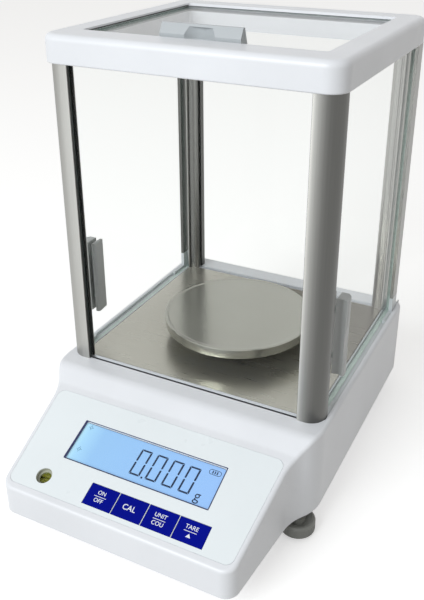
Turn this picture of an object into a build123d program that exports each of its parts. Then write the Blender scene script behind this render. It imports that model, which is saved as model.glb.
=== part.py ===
from build123d import *
import math
import os

# Laboratory precision balance with a tall glass draft shield.
# Millimetres, +Z up, +Y towards the back, +X to the right of someone facing the keys.
# Stations are measured from the front of the console (y), from the middle (x) and from
# the underside of the housing (z). save() then moves each piece into the part's frame,
# whose origin lies on the table under the middle of the housing.

# Housing: plan and side profile
DEPTH = 337.0
DECK_HALF = 117.2
SWELL = 14.2
TAPER = 6.0
WAIST_Y = 75.0
SWELL_TURN = 36.0
SWELL_R = 39.0
LIP_Z = 24.0
SLOPE = 22.0
RISER_Y = 88.0
RISER_RUN = 13.5
DECK_Z = 69.5
WALL = 2.5
FRONT_CORNER = 11.0
REAR_CORNER = 12.0
RIM_ROUND = 3.0
WAIST_HALF = DECK_HALF - SWELL
FRONT_HALF = WAIST_HALF - TAPER

# Console: overlay, window, keys and level, measured along the slope
OVERLAY_START = 5.5
OVERLAY_END = 89.5
OVERLAY_MARGIN = 4.0
OVERLAY_THICK = 1.0
WINDOW_SIDE = 34.8
WINDOW_START = 36.0
WINDOW_END = 70.6
WINDOW_LEDGE = 1.0
KEY_LEFT = -28.8
KEY_PITCH = 24.8
KEY_GAP = 0.9
KEY_START = 9.3
KEY_LENGTH = 16.6
KEY_PLAY = 0.25
KEY_TRAVEL = 0.4
KEY_COUNT = 4
KEY_REST = 0.1
FLANGE_THICK = 1.0
STUB_LENGTH = 0.7
SWITCH_GAP = 0.1
LCD_GAP = 0.6
LCD_PLAY = 0.2
LCD_THICK = 2.8
LAMP_THICK = 5.0
BOARD_THICK = 1.6
LEVEL_SIDE = 29.1
LEVEL_S = 17.8
LEVEL_WELL = 12.6
LEVEL_VIAL = 9.4
LEVEL_WALL = 1.0
LEVEL_DEPTH = 9.0
LEVEL_RECESS = 2.4
LENS_THICK = 1.4
BUBBLE_D = 4.0
WINDOW_HALF = FRONT_HALF - WINDOW_SIDE
KEY_WIDTH = KEY_PITCH - KEY_GAP
LEVEL_X = LEVEL_SIDE - FRONT_HALF
LCD_BELOW = OVERLAY_THICK + LCD_GAP
LAMP_BELOW = LCD_BELOW + LCD_THICK
BOARD_BELOW = LAMP_BELOW + LAMP_THICK
BOARD_HALF = WINDOW_HALF + 15.8
BOARD_SHIFT = 2.0
BOARD_FRONT = 6.0
BOARD_BACK = WINDOW_END + 8.0
BOARD_SCREWS = [
    (BOARD_SHIFT + side * (BOARD_HALF - 6.0), y)
    for y in (WINDOW_START - 2.0, WINDOW_END + 4.4)
    for side in (-1, 1)
]

# Draft shield
GLASS = 4.0
GLASS_PLAY = 0.3
DOOR_PLAY = 0.5
GLASS_SINK = 2.0
POST_SET_IN = 4.2
POST_OUTER = DECK_HALF - POST_SET_IN
FRONT_POST_WIDTH = 19.0
FRONT_POST_INNER = POST_OUTER - FRONT_POST_WIDTH
FRONT_POST_Y = 116.0
FRONT_POST_DEPTH = 15.0
POST_ROUND = 13.0
REAR_POST_WIDTH = 11.7
REAR_POST_INNER = POST_OUTER - 20.5
REAR_POST_Y = DEPTH - 27.5
REAR_POST_DEPTH = 14.0
DOOR_X = POST_OUTER - 5.8
FRONT_PANE_Y = FRONT_POST_Y + 4.3
REAR_PANE_Y = REAR_POST_Y + 5.5
POST_GROOVE = 4.0
SEAL_WALL = 0.9
SEAL_BASE = 2.0
RAIL_BASE = 4.4
RAIL_POST = 14.0
SHOE_LENGTH = 18.8
FRAME_Z = 317.1
FRAME_HEIGHT = 21.1
FRAME_OVERHANG = 2.0
FRAME_HALF = POST_OUTER + FRAME_OVERHANG
FRAME_FRONT = FRONT_POST_Y - 3.5
FRAME_BACK = DEPTH - 11.0
FRAME_CORNER = 14.0
FRAME_ROUND = 5.0
FRAME_SIDE = 20.5
OPENING_HALF = FRAME_HALF - FRAME_SIDE
OPENING_FRONT = FRAME_FRONT + 27.0
OPENING_BACK = FRAME_BACK - 24.0
TOP_PANE_DROP = 2.6
TOP_PANE_GRIP = 3.4
ROD_D = 4.0
ROD_PLAY = 0.3
ROD_GRIP = 12.0

# Door handles
HANDLE_Y = FRONT_POST_Y + 29.5
HANDLE_DEPTH = 12.5
HANDLE_Z = 98.0
HANDLE_HEIGHT = 64.0
HANDLE_OUT = 9.6
HANDLE_IN = 3.6
HANDLE_ROUND = 0.6
PEG_SPREAD = 40.0
PEG_D = 4.0
TOP_HANDLE_WIDTH = 63.0
TOP_HANDLE_Y = OPENING_FRONT + 4.0
TOP_HANDLE_FOOT = 10.5
TOP_HANDLE_HEIGHT = 11.4
SCOOP_R = 15.0

# Weighing system
PAN_Y = (FRONT_PANE_Y + REAR_PANE_Y) / 2 - 6.35
PAN_R = 65.0
PAN_TOP = DECK_Z + 21.8
PAN_RIM = 8.6
PAN_SHEET = 1.2
PAN_BEAD = 0.8
POST_HOLE = 11.0
CONE_TOP_R = 4.0
CONE_FOOT_R = 6.0
CONE_HEIGHT = 14.0
CONE_PLAY = 0.05
FLOOR_SHEET = 1.0
FLOOR_HALF = DOOR_X - 4.2
FLOOR_GAP = 0.4
PLATE = 3.0
BEAM_WIDTH = 30.0
BEAM_HEIGHT = 22.0
BEAM_LENGTH = 118.0
BEAM_START = PAN_Y - BEAM_LENGTH / 2
BEAM_FOOT = 30.0
BEAM_BORE = 15.0
BLOCK_HEIGHT = 10.0
CELL_SCREW_D = 5.0
CELL_SCREW_HEAD = 8.5
ARM_THICK = 6.0
ARM_RISE = 3.0

# Feet
FOOT_X = DECK_HALF - 12.5
FOOT_Y = 100.3
WHEEL_R = 13.6
WHEEL_HEIGHT = 10.0
WHEEL_GAP = 7.0
WHEEL_RIDGES = 36
STEM_D = 6.0
PAD_R = 10.0
PAD_HEIGHT = 5.0
PAD_SHOW = 2.5
REAR_FOOT_X = DECK_HALF - 32.2
REAR_FOOT_Y = DEPTH - 37.0
REAR_FOOT_R = 11.0
REAR_STEM_D = 5.0
INSERT_D = 9.0
INSERT_LENGTH = 12.0

# Screws of the base plate
SCREW_D = 3.0
SCREW_HEAD_D = 5.6
SCREW_HEAD = 1.6
SCREW_LENGTH = 12.0
BOSS_D = 8.0

# Electronics: main board, its pillars, rear sockets and battery
BOARD_X = (29.2 - DECK_HALF, 93.2 - DECK_HALF)
BOARD_Y = (DEPTH - 101.0, DEPTH - 6.0)
BOARD_Z = 14.0
STANDOFF_R = 3.2
STANDOFF_HOLE = 3.2
STANDOFF_SCREW = 3.0
POWER_AT = (45.2 - DECK_HALF, 23.0)
POWER_SIZE = (12.0, 11.0)
SERIAL_AT = (75.2 - DECK_HALF, 23.0)
SERIAL_SIZE = (18.2, 9.6)
SOCKET_PLAY = 0.2
BATTERY = (70.0, 102.0, 47.0)
BATTERY_AT = (DECK_HALF - 55.2, DEPTH - 115.0)
CABLE_X = -46.0
CABLE_HALF = 10.0

# Derived sizes
RISE = math.tan(math.radians(SLOPE))
RISER_Z = LIP_Z + RISER_Y * RISE
RISER_TOP_Y = RISER_Y + RISER_RUN
FOOT_HEIGHT = WHEEL_GAP + WHEEL_HEIGHT + PAD_SHOW
DOOR_SLOT = GLASS + 2 * DOOR_PLAY
PANE_SLOT = GLASS + 2 * GLASS_PLAY
SEAL_SLOT = PANE_SLOT + 2 * SEAL_WALL
SLOT_IN = DOOR_X - DOOR_SLOT / 2
SLOT_OUT = DOOR_X + DOOR_SLOT / 2
DOOR_FRONT = FRONT_POST_Y + FRONT_POST_DEPTH - POST_GROOVE
DOOR_BACK = REAR_POST_Y + REAR_POST_DEPTH / 2 + 1.5
FLOOR_FRONT = FRONT_PANE_Y + PANE_SLOT / 2 + 1.0
FLOOR_BACK = REAR_PANE_Y - PANE_SLOT / 2 - 1.0
FRAME_TOP = FRAME_Z + FRAME_HEIGHT
TOP_PANE_Z = FRAME_TOP - TOP_PANE_DROP - GLASS
PANE_TOP = FRAME_Z + POST_GROOVE - 0.4
CARRIER_Z = PLATE + BLOCK_HEIGHT + BEAM_HEIGHT
FRONT_ROD = (FRONT_POST_INNER + 9.0, FRONT_POST_Y + 4.8)
REAR_ROD = (REAR_POST_INNER + 7.6, REAR_POST_Y + 8.9)
FOOT_PLACES = [(-FOOT_X, FOOT_Y), (FOOT_X, FOOT_Y)]
SCREW_ROWS = [(FRONT_HALF - 9.0, 14.0), (DECK_HALF - 9.2, FRONT_POST_Y + 34.0), (12.0, DEPTH - 11.0)]
SCREW_PLACES = [(x * side, y) for x, y in SCREW_ROWS for side in (-1, 1)]

# The console's sloping face: x to the right, y up the slope, z outwards
CONSOLE = Plane(
    origin=(0, 0, LIP_Z),
    x_dir=(1, 0, 0),
    z_dir=(0, -math.sin(math.radians(SLOPE)), math.cos(math.radians(SLOPE))),
)


def save(node, shape):
    """Writes one node, moved into the part's frame."""
    export_step(Pos(0, -DEPTH / 2, FOOT_HEIGHT) * shape, f"parts/{node}.step")


def block(x, y, z):
    """A box given by its two ends along each axis."""
    size = Box(x[1] - x[0], y[1] - y[0], z[1] - z[0])
    return Pos((x[0] + x[1]) / 2, (y[0] + y[1]) / 2, (z[0] + z[1]) / 2) * size


def rod(x, y, z0, z1, d):
    """An upright cylinder between two heights."""
    return Pos(x, y, (z0 + z1) / 2) * Cylinder(d / 2, z1 - z0)


def flip(shape):
    """The same piece on the other side of the balance."""
    return mirror(shape, about=Plane.YZ)


def group(shapes):
    """Separate solids kept in one node."""
    return Compound([solid for shape in shapes for solid in shape.solids()])


# Housing

def plan(inset=0.0):
    """The housing's outline from above: a narrow console that swells into the deck."""
    lean = math.degrees(math.atan2(WAIST_HALF - FRONT_HALF, WAIST_Y))
    turn = math.radians(SWELL_TURN)
    out = JernArc((WAIST_HALF, WAIST_Y), (WAIST_HALF - FRONT_HALF, WAIST_Y), SWELL_R, lean - SWELL_TURN)
    back_r = (DECK_HALF - (out @ 1).X) / (1 - math.cos(turn))
    back = JernArc(out @ 1, (math.sin(turn), math.cos(turn)), back_r, SWELL_TURN)
    right = Curve() + [
        Line((0, 0), (FRONT_HALF, 0)),
        Line((FRONT_HALF, 0), (WAIST_HALF, WAIST_Y)),
        out,
        back,
        Line(back @ 1, (DECK_HALF, DEPTH)),
        Line((DECK_HALF, DEPTH), (0, DEPTH)),
    ]
    face = make_face(right + mirror(right, about=Plane.YZ))
    front = [v for v in face.vertices() if v.Y < 1 and abs(v.X) > 1]
    face = fillet(front, FRONT_CORNER)
    rear = [v for v in face.vertices() if v.Y > DEPTH - 1 and abs(v.X) > 1]
    face = fillet(rear, REAR_CORNER)
    if inset:
        face = offset(face, amount=-inset)
    return face


def side_profile(inset=0.0):
    """The housing's side view: lip, slope, riser and deck."""
    lean = math.radians(SLOPE)
    riser = math.atan2(DECK_Z - RISER_Z, RISER_RUN)
    # each point moves inwards so that every wall keeps the same thickness
    low = LIP_Z - inset / math.cos(lean) + inset * RISE
    knee = (lean + riser) / 2
    bend = inset / math.cos((riser - lean) / 2)
    crest = inset / math.cos(riser / 2)
    points = [
        (inset, -inset),
        (inset, low),
        (RISER_Y + bend * math.sin(knee), RISER_Z - bend * math.cos(knee)),
        (RISER_TOP_Y + crest * math.sin(riser / 2), DECK_Z - inset),
        (DEPTH - inset, DECK_Z - inset),
        (DEPTH - inset, -inset),
    ]
    face = make_face(Polyline(*points, close=True))
    knee_point = [v for v in face.vertices() if abs(v.X - points[2][0]) < 0.01]
    face = fillet(knee_point, 10 + inset)
    crest_point = [v for v in face.vertices() if abs(v.X - points[3][0]) < 0.01]
    return fillet(crest_point, 12 - inset)


def housing_form(inset=0.0):
    """Plan and profile crossed, at the outside or one wall further in."""
    side = Plane.YZ * side_profile(inset)
    tall = Pos(0, 0, -inset) * extrude(plan(inset), amount=DECK_Z + inset + 5)
    return tall & extrude(side, amount=DECK_HALF + 5, both=True)


def soften_rim(form):
    """Rounds the edge where the upright walls meet the top."""
    upright = [f for f in form.faces() if abs(f.normal_at().Z) < 0.01]
    tops = [f for f in form.faces() if f.normal_at().Z > 0.3]
    rim = [e for f in upright for e in f.edges() if any(e.is_same(t) for g in tops for t in g.edges())]
    return fillet(rim, RIM_ROUND)


def overlay_outline(gap=0.0):
    """The overlay's shape on the slope, following the console's taper."""
    lean = (WAIST_HALF - FRONT_HALF) / WAIST_Y * math.cos(math.radians(SLOPE))
    front = FRONT_HALF + lean * OVERLAY_START - OVERLAY_MARGIN + gap
    back = FRONT_HALF + lean * OVERLAY_END - OVERLAY_MARGIN + gap
    y0 = OVERLAY_START - gap
    y1 = OVERLAY_END + gap
    face = make_face(Polyline((-front, y0), (front, y0), (back, y1), (-back, y1), close=True))
    return fillet(face.vertices(), 6.0)


def window_outline(grow=0.0):
    wide = 2 * (WINDOW_HALF + grow)
    tall = WINDOW_END - WINDOW_START + 2 * grow
    return Pos(0, (WINDOW_START + WINDOW_END) / 2) * RectangleRounded(wide, tall, 1.5)


def key_centre(i):
    return (KEY_LEFT + KEY_PITCH * (i + 0.5), KEY_START + KEY_LENGTH / 2)


def key_outline(i, grow=0.0):
    return Pos(*key_centre(i)) * Rectangle(KEY_WIDTH + 2 * grow, KEY_LENGTH + 2 * grow)


def key_row(grow=0.0):
    """One opening that holds all four keys."""
    x0, y0 = key_centre(0)
    x1, _ = key_centre(KEY_COUNT - 1)
    wide = x1 - x0 + KEY_WIDTH + 2 * grow
    return Pos((x0 + x1) / 2, y0) * Rectangle(wide, KEY_LENGTH + 2 * grow)


def level_disc(d):
    return Pos(LEVEL_X, LEVEL_S) * Circle(d / 2)


def deck_slots():
    """Grooves in the deck for the front and rear panes and for the door rails."""
    front = block((-FRONT_POST_INNER - POST_GROOVE - 0.3, FRONT_POST_INNER + POST_GROOVE + 0.3),
                  (FRONT_PANE_Y - PANE_SLOT / 2, FRONT_PANE_Y + PANE_SLOT / 2),
                  (DECK_Z - GLASS_SINK, DECK_Z + 1))
    rear = block((-REAR_POST_INNER - POST_GROOVE - 0.3, REAR_POST_INNER + POST_GROOVE + 0.3),
                 (REAR_PANE_Y - PANE_SLOT / 2, REAR_PANE_Y + PANE_SLOT / 2),
                 (DECK_Z - GLASS_SINK, DECK_Z + 1))
    return front + rear


def rail_bed(side):
    """The channel in the deck that a door rail drops into, open at the back."""
    bed = block((SLOT_IN - 1.2, SLOT_OUT + 3.5), (FRONT_POST_Y + 9.8, DEPTH + 1), (DECK_Z - 4.5, DECK_Z + 1))
    return bed if side > 0 else flip(bed)


def upper_housing():
    form = soften_rim(housing_form())
    cavity = housing_form(WALL)
    shell = form - cavity
    # thicker deck edge under the rails and the posts, screw bosses and foot bosses
    ribs = [block((SLOT_IN - 3.5, DECK_HALF), (FRONT_POST_Y - 4, DEPTH), (DECK_Z - 7.0, DECK_Z - 1))]
    ribs.append(block((0, DECK_HALF), (FRONT_PANE_Y - 5, FRONT_PANE_Y + 5), (DECK_Z - 5.0, DECK_Z - 1)))
    ribs.append(block((0, DECK_HALF), (REAR_PANE_Y - 5, REAR_PANE_Y + 5), (DECK_Z - 5.0, DECK_Z - 1)))
    for x, y in (FRONT_ROD, REAR_ROD):
        ribs.append(rod(x, y, PLATE, DECK_Z - 1, 10))
    ribs.append(rod(FOOT_X, FOOT_Y, 0, INSERT_LENGTH + 8, 15))
    for x, y in SCREW_PLACES[1::2]:
        ribs.append(rod(x, y, PLATE, DECK_Z - 1, BOSS_D))
    right = Part() + ribs
    shell += (right + flip(right)) & housing_form(WALL / 2)
    # everything that is let into the console's slope
    shell -= CONSOLE * extrude(overlay_outline(0.15), amount=-OVERLAY_THICK)
    shell -= CONSOLE * extrude(window_outline(-WINDOW_LEDGE), amount=-WALL - 2)
    shell -= CONSOLE * extrude(key_row(KEY_PLAY), amount=-WALL - 2)
    shell -= CONSOLE * extrude(level_disc(LEVEL_WELL + 2 * LEVEL_WALL + 0.2), amount=-WALL - 2)
    # deck: floor recess, pane grooves, rail beds, spigot hole
    shell -= block((-FLOOR_HALF - FLOOR_GAP, FLOOR_HALF + FLOOR_GAP),
                   (FLOOR_FRONT - FLOOR_GAP, FLOOR_BACK + FLOOR_GAP),
                   (DECK_Z - FLOOR_SHEET, DECK_Z + 1))
    shell -= deck_slots()
    shell -= rail_bed(1)
    shell -= rail_bed(-1)
    shell -= rod(0, PAN_Y, DECK_Z - WALL - 1, DECK_Z + 1, 2 * POST_HOLE + 4)
    # bores
    for side in (-1, 1):
        for x, y in (FRONT_ROD, REAR_ROD):
            shell -= rod(side * x, y, -1, DECK_Z + 1, ROD_D + 2 * ROD_PLAY)
    for x, y in FOOT_PLACES:
        shell -= rod(x, y, -1, INSERT_LENGTH, INSERT_D)
        shell -= rod(x, y, -1, INSERT_LENGTH + 7, STEM_D + 1)
    for x, y in SCREW_PLACES:
        shell -= rod(x, y, PLATE - 1, PLATE + SCREW_LENGTH, SCREW_D)
    # sockets and vents in the rear wall
    shell -= socket_hole(POWER_AT, POWER_SIZE)
    shell -= socket_hole(SERIAL_AT, SERIAL_SIZE)
    vent = Box(2.2, 3 * WALL, 14)
    for i in range(9):
        shell -= Pos(40 + 5 * i, DEPTH - WALL / 2, 38) * vent
    return shell


def socket_hole(at, size):
    """Opening in the rear wall, from its centre (x, z) and its width and height."""
    hole = Box(size[0] + 2 * SOCKET_PLAY, 4 * WALL, size[1] + 2 * SOCKET_PLAY)
    return Pos(at[0], DEPTH - WALL / 2, at[1]) * hole


def base_plate():
    """Cast floor of the balance, with a stiffening rim and pads for what it carries."""
    plate = extrude(plan(WALL + 0.3), amount=PLATE + 5)
    plate -= Pos(0, 0, PLATE) * extrude(plan(WALL + 2.8), amount=PLATE + 5)
    plate -= block((-DECK_HALF, DECK_HALF), (0, FRONT_POST_Y - 4), (PLATE, PLATE + 10))
    for x, y in FOOT_PLACES:
        plate -= rod(x, y, -1, PLATE + 8, 15.6)
    for side in (-1, 1):
        for x, y in (FRONT_ROD, REAR_ROD):
            plate -= rod(side * x, y, PLATE, PLATE + 8, 10.6)
            plate -= rod(side * x, y, -1, PLATE + 1, ROD_D)
        plate += rod(side * REAR_FOOT_X, REAR_FOOT_Y, PLATE, PLATE + 6, 12)
    for x, y in SCREW_PLACES:
        plate -= rod(x, y, PLATE, PLATE + 8, BOSS_D + 0.6)
        plate -= rod(x, y, -1, PLATE + 1, SCREW_D + 0.4)
        plate -= rod(x, y, -1, SCREW_HEAD, SCREW_HEAD_D + 0.4)
    for side in (-1, 1):
        plate -= rod(side * REAR_FOOT_X, REAR_FOOT_Y, -1, PLATE + 4, REAR_STEM_D + 0.02)
    # vent slots under the electronics
    slot = SlotOverall(34, 3)
    for i in range(6):
        vent = Pos(sum(BOARD_X) / 2, BOARD_Y[0] - 56 + 8 * i, -1)
        plate -= vent * extrude(slot, amount=PLATE + 2)
    return plate


# Console pieces

def console_faceplate():
    sheet = overlay_outline() - window_outline(0.15) - level_disc(LEVEL_WELL)
    for i in range(KEY_COUNT):
        sheet -= key_outline(i, KEY_PLAY)
    return CONSOLE * extrude(sheet, amount=-OVERLAY_THICK)


def display_window():
    return CONSOLE * extrude(window_outline(), amount=-OVERLAY_THICK)


def display_layer(below, thick, play):
    """A flat layer of the display, its top at a depth under the slope."""
    layer = extrude(window_outline(-WINDOW_LEDGE - play), amount=-thick)
    return CONSOLE * (Pos(0, 0, -below) * layer)


def display_board():
    sheet = RectangleRounded(2 * BOARD_HALF, BOARD_BACK - BOARD_FRONT, 3)
    middle = (BOARD_FRONT + BOARD_BACK) / 2
    board = Pos(BOARD_SHIFT, middle, -BOARD_BELOW) * extrude(sheet, amount=-BOARD_THICK)
    for x, y in BOARD_SCREWS:
        board -= Pos(x, y, -BOARD_BELOW) * Cylinder(1.6, 4 * BOARD_THICK)
    for x, y, w, h in ((-30, 50, 14, 14), (4, 52, 20, 8), (38, 46, 10, 18)):
        board += Pos(x, y, -BOARD_BELOW - BOARD_THICK - 1) * Box(w, h, 2)
    return CONSOLE * board


def display_board_posts():
    """Moulded pillars between the console and its board, one per board screw."""
    posts = [Pos(x, y, -(WALL + BOARD_BELOW) / 2) * Cylinder(3, BOARD_BELOW - WALL) for x, y in BOARD_SCREWS]
    holes = [Pos(x, y, -BOARD_BELOW) * Cylinder(1.1, 8) for x, y in BOARD_SCREWS]
    return CONSOLE * (Part() + posts - holes)


def display_board_screws():
    screws = []
    for x, y in BOARD_SCREWS:
        head = Pos(x, y, -BOARD_BELOW - BOARD_THICK - 0.8) * Cylinder(2.4, 1.6)
        stem = Pos(x, y, -BOARD_BELOW - 0.8 + 1.2) * Cylinder(1.1, 4.0)
        screws.append(CONSOLE * (head + stem))
    return group(screws)


def key(i):
    """Key cap with a retaining flange under the console and a stub over its switch."""
    x, y = key_centre(i)
    foot = -WALL - KEY_REST
    cap = extrude(key_outline(i), amount=foot)
    cap = chamfer(cap.edges().group_by(Axis.Z)[-1], 0.25)
    flange = Pos(x, y, foot) * extrude(Rectangle(KEY_WIDTH, KEY_LENGTH + 3), amount=-FLANGE_THICK)
    stub = Pos(x, y, foot - FLANGE_THICK) * extrude(Circle(2.2), amount=-STUB_LENGTH)
    return CONSOLE * (cap + flange + stub)


def key_switches():
    """Tact switches on the display board, one below each key."""
    top = -WALL - KEY_REST - FLANGE_THICK - STUB_LENGTH - KEY_TRAVEL - SWITCH_GAP
    body_top = top - 0.8
    switches = []
    for i in range(KEY_COUNT):
        x, y = key_centre(i)
        body = Pos(x, y, -BOARD_BELOW) * extrude(Rectangle(6, 6), amount=body_top + BOARD_BELOW)
        plunger = Pos(x, y, body_top) * extrude(Circle(1.75), amount=top - body_top)
        switches.append(CONSOLE * (body + plunger))
    return group(switches)


def level_cup():
    """Cup of the bubble level: a wide well over the narrower vial."""
    outside = level_disc(LEVEL_WELL + 2 * LEVEL_WALL)
    cup = Pos(0, 0, -OVERLAY_THICK) * extrude(outside, amount=OVERLAY_THICK - LEVEL_DEPTH)
    cup -= extrude(level_disc(LEVEL_WELL), amount=-OVERLAY_THICK - LEVEL_RECESS)
    cup -= extrude(level_disc(LEVEL_VIAL), amount=LEVEL_WALL - LEVEL_DEPTH)
    return CONSOLE * cup


def level_vial_parts():
    """Lens, fluid and bubble, stacked in the vial; the bubble floats under the lens."""
    disc = level_disc(LEVEL_VIAL - 0.2)
    lens_top = -OVERLAY_THICK - LEVEL_RECESS
    fluid_top = lens_top - LENS_THICK
    fluid_foot = LEVEL_WALL - LEVEL_DEPTH + 0.05
    bubble_at = Pos(LEVEL_X, LEVEL_S, fluid_top - 0.9)
    lens = Pos(0, 0, lens_top) * extrude(disc, amount=-LENS_THICK)
    bubble = bubble_at * scale(Sphere(BUBBLE_D / 2), (1, 1, 0.36))
    hollow = bubble_at * scale(Sphere(BUBBLE_D / 2 + 0.05), (1, 1, 0.37))
    fluid = Pos(0, 0, fluid_top) * extrude(disc, amount=fluid_foot - fluid_top) - hollow
    return CONSOLE * lens, CONSOLE * fluid, CONSOLE * bubble


def display_ribbon_cable():
    """Flat cable from the main board up to the display board."""
    start = CONSOLE.from_local_coords(Vector(0, 60, -BOARD_BELOW - BOARD_THICK - 0.6))
    end_y = BOARD_Y[0] + 10
    z = BOARD_Z + BOARD_THICK + 1.4
    lean = math.radians(SLOPE)
    path = Spline(
        (start.Y, start.Z), (start.Y + 22, start.Z - 14), (150, 14),
        (end_y - 30, z + 0.6), (end_y - 12, z + 0.1), (end_y, z),
        tangents=[(math.cos(lean), math.sin(lean)), (1, 0)],
    )
    band = make_face(offset_band(path, 0.5))
    return Pos(CABLE_X, 0, 0) * extrude(Plane.YZ * band, amount=CABLE_HALF, both=True)


def offset_band(path, half):
    """Closed outline of a thin band that follows a path."""
    upper = [path @ (i / 16) + Vector(*normal_of(path, i / 16)) * half for i in range(17)]
    lower = [path @ (i / 16) - Vector(*normal_of(path, i / 16)) * half for i in range(17)]
    top = Spline(*upper)
    low = Spline(*lower)
    return Curve() + [top, Line(top @ 1, low @ 1), low, Line(low @ 0, top @ 0)]


def normal_of(path, t):
    d = path % t
    return (-d.Y, d.X, 0)


# Weighing system

def chamber_floor_plate():
    """Sheet that lines the chamber, with a raised collar round the hole under the pan."""
    sheet = RectangleRounded(2 * FLOOR_HALF, FLOOR_BACK - FLOOR_FRONT, 2)
    plate = Pos(0, (FLOOR_FRONT + FLOOR_BACK) / 2, DECK_Z - FLOOR_SHEET) * extrude(sheet, amount=FLOOR_SHEET)
    plate += rod(0, PAN_Y, DECK_Z - FLOOR_SHEET, DECK_Z + 1.2, 2 * POST_HOLE + 2)
    return plate - rod(0, PAN_Y, DECK_Z - 3, DECK_Z + 3, 2 * POST_HOLE)


def weighing_pan():
    """Round pan pressed from sheet, with a rolled bead on the edge and a turned-down rim."""
    top = PAN_TOP - PAN_BEAD / 2
    rim = PAN_R - 0.8
    inside = rim - PAN_SHEET
    profile = Polyline(
        (0, top), (rim - 3, top), (rim - 1.6, PAN_TOP), (PAN_R - 0.6, PAN_TOP),
        (PAN_R, PAN_TOP - 0.6), (PAN_R, PAN_TOP - 1.9), (rim, PAN_TOP - 2.6), (rim, PAN_TOP - PAN_RIM),
        (inside, PAN_TOP - PAN_RIM), (inside, PAN_TOP - 4.4), (rim - 3, top - PAN_SHEET),
        (0, top - PAN_SHEET),
        close=True,
    )
    return Pos(0, PAN_Y, 0) * revolve(Plane.XZ * make_face(profile))


def cone_seat(play):
    """The taper that carries the pan hub, as a revolve profile."""
    foot = PAN_TOP - PAN_BEAD / 2 - PAN_SHEET - 3 - CONE_HEIGHT
    return foot, CONE_FOOT_R + play, CONE_TOP_R + play


def pan_hub():
    """Hub under the pan whose bore sits on the cone of the carrier."""
    top = PAN_TOP - PAN_BEAD / 2 - PAN_SHEET
    foot, r0, r1 = cone_seat(CONE_PLAY)
    roof = foot + CONE_HEIGHT + CONE_PLAY
    profile = Polyline(
        (0, top), (17, top), (17, top - 2), (9, top - 4.5), (9, foot + 2), (r0, foot + 2),
        (r1, roof), (0, roof), close=True,
    )
    return Pos(0, PAN_Y, 0) * revolve(Plane.XZ * make_face(profile))


def pan_carrier():
    """Arm from the free end of the load cell back to the pan's centre, with its cone."""
    end = BEAM_START + BEAM_LENGTH
    foot, r0, r1 = cone_seat(0)
    arm_z = CARRIER_Z + ARM_RISE
    arm = block((-13, 13), (PAN_Y - 13, end), (arm_z, arm_z + ARM_THICK))
    arm = fillet(arm.edges().filter_by(Axis.Z), 5)
    seat = block((-13, 13), (end - BEAM_FOOT, end), (CARRIER_Z, arm_z))
    stem = Pos(0, PAN_Y, 0) * revolve(Plane.XZ * make_face(Polyline(
        (0, CARRIER_Z + 5), (9, CARRIER_Z + 5), (9, CARRIER_Z + 13), (r0, foot), (r1, foot + CONE_HEIGHT),
        (0, foot + CONE_HEIGHT), close=True)))
    carrier = arm + seat + stem
    for x, y in cell_screw_places()[2:]:
        carrier -= rod(x, y, CARRIER_Z - 1, CARRIER_Z + 10, CELL_SCREW_D + 0.3)
    return carrier


def load_cell():
    """Aluminium beam with the twin bores that let its middle flex."""
    end = BEAM_START + BEAM_LENGTH
    mid = (BEAM_START + end) / 2
    z0 = PLATE + BLOCK_HEIGHT
    beam = block((-BEAM_WIDTH / 2, BEAM_WIDTH / 2), (BEAM_START, end), (z0, z0 + BEAM_HEIGHT))
    hole = Rot(0, 90, 0) * Cylinder(BEAM_BORE / 2, BEAM_WIDTH + 2)
    zc = z0 + BEAM_HEIGHT / 2
    for y in (mid - 13, mid + 13):
        beam -= Pos(0, y, zc) * hole
    beam -= block((-20, 20), (mid - 13, mid + 13), (zc - 3, zc + 3))
    for x, y in cell_screw_places():
        beam -= rod(x, y, z0 - 1, z0 + BEAM_HEIGHT + 1, CELL_SCREW_D + 0.3)
    return chamfer(beam.edges().filter_by(Axis.Y).group_by(Axis.Z)[-1], 0.8)


def cell_screw_places():
    end = BEAM_START + BEAM_LENGTH
    return [(-8, BEAM_START + 15), (8, BEAM_START + 15), (-8, end - 12), (8, end - 12)]


def load_cell_base():
    base = block((-22, 22), (BEAM_START - 6, BEAM_START + BEAM_FOOT), (PLATE, PLATE + BLOCK_HEIGHT))
    base = chamfer(base.edges().filter_by(Axis.Z), 3)
    for x, y in cell_screw_places()[:2]:
        base -= rod(x, y, PLATE + 2, PLATE + BLOCK_HEIGHT + 1, CELL_SCREW_D + 0.02)
    return base


def socket_screw(x, y, top, length):
    """Cap screw standing on its thread, its head at the top."""
    d = CELL_SCREW_D
    body = rod(x, y, top - length, top, d) + rod(x, y, top, top + d, CELL_SCREW_HEAD)
    hexagon = Pos(x, y, top + d / 2) * extrude(RegularPolygon(d / 2 * 0.95, 6), amount=d)
    return body - hexagon


def load_cell_screws():
    """Two screws down into the base and two through the carrier into the beam's free end."""
    places = cell_screw_places()
    fixed = [socket_screw(x, y, CARRIER_Z, BEAM_HEIGHT + 7) for x, y in places[:2]]
    free = [socket_screw(x, y, CARRIER_Z + ARM_RISE + ARM_THICK, BEAM_HEIGHT + 7) for x, y in places[2:]]
    return group(fixed + free)


def overload_stop():
    """Stop screw that catches the free end of the load cell before it bends too far."""
    end = BEAM_START + BEAM_LENGTH
    z = PLATE + BLOCK_HEIGHT
    screw = rod(0, end - 12, PLATE, z - 0.5, 6)
    nut = Pos(0, end - 12, PLATE) * extrude(RegularPolygon(6, 6), amount=4)
    return screw + nut


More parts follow.
